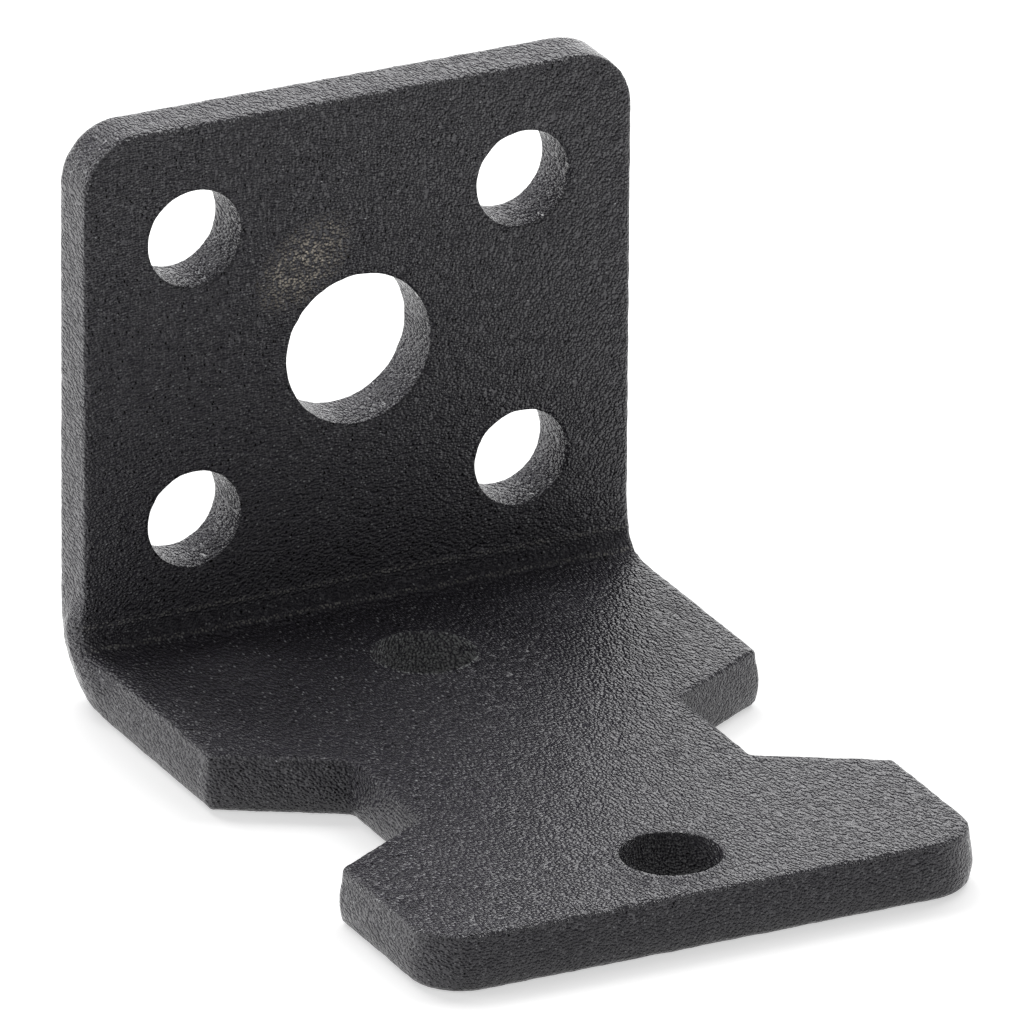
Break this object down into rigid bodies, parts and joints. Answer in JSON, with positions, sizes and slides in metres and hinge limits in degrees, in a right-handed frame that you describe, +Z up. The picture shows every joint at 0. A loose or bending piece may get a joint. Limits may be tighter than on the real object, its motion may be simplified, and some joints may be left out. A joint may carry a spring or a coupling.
{
  "type": "motor mounting bracket",
  "caption": "Folded sheet-metal angle bracket: an upright plate with a pilot hole and screw holes for a small motor, on a notched foot that is screwed down.",
  "frame": {"origin": "midway between the foot's two screw holes, on the foot's underside", "axes": "+X along the fold, across the bracket; +Y along the foot, from its free end to the wall; +Z up, along the wall"},
  "size_m": [0.0206, 0.028, 0.02],
  "materials": {
    "coated_sheet": "matte black powder coat with a fine sandy texture"
  },
  "bodies": {
    "root": {"bracket": "coated_sheet"}
  },
  "joints": []
}
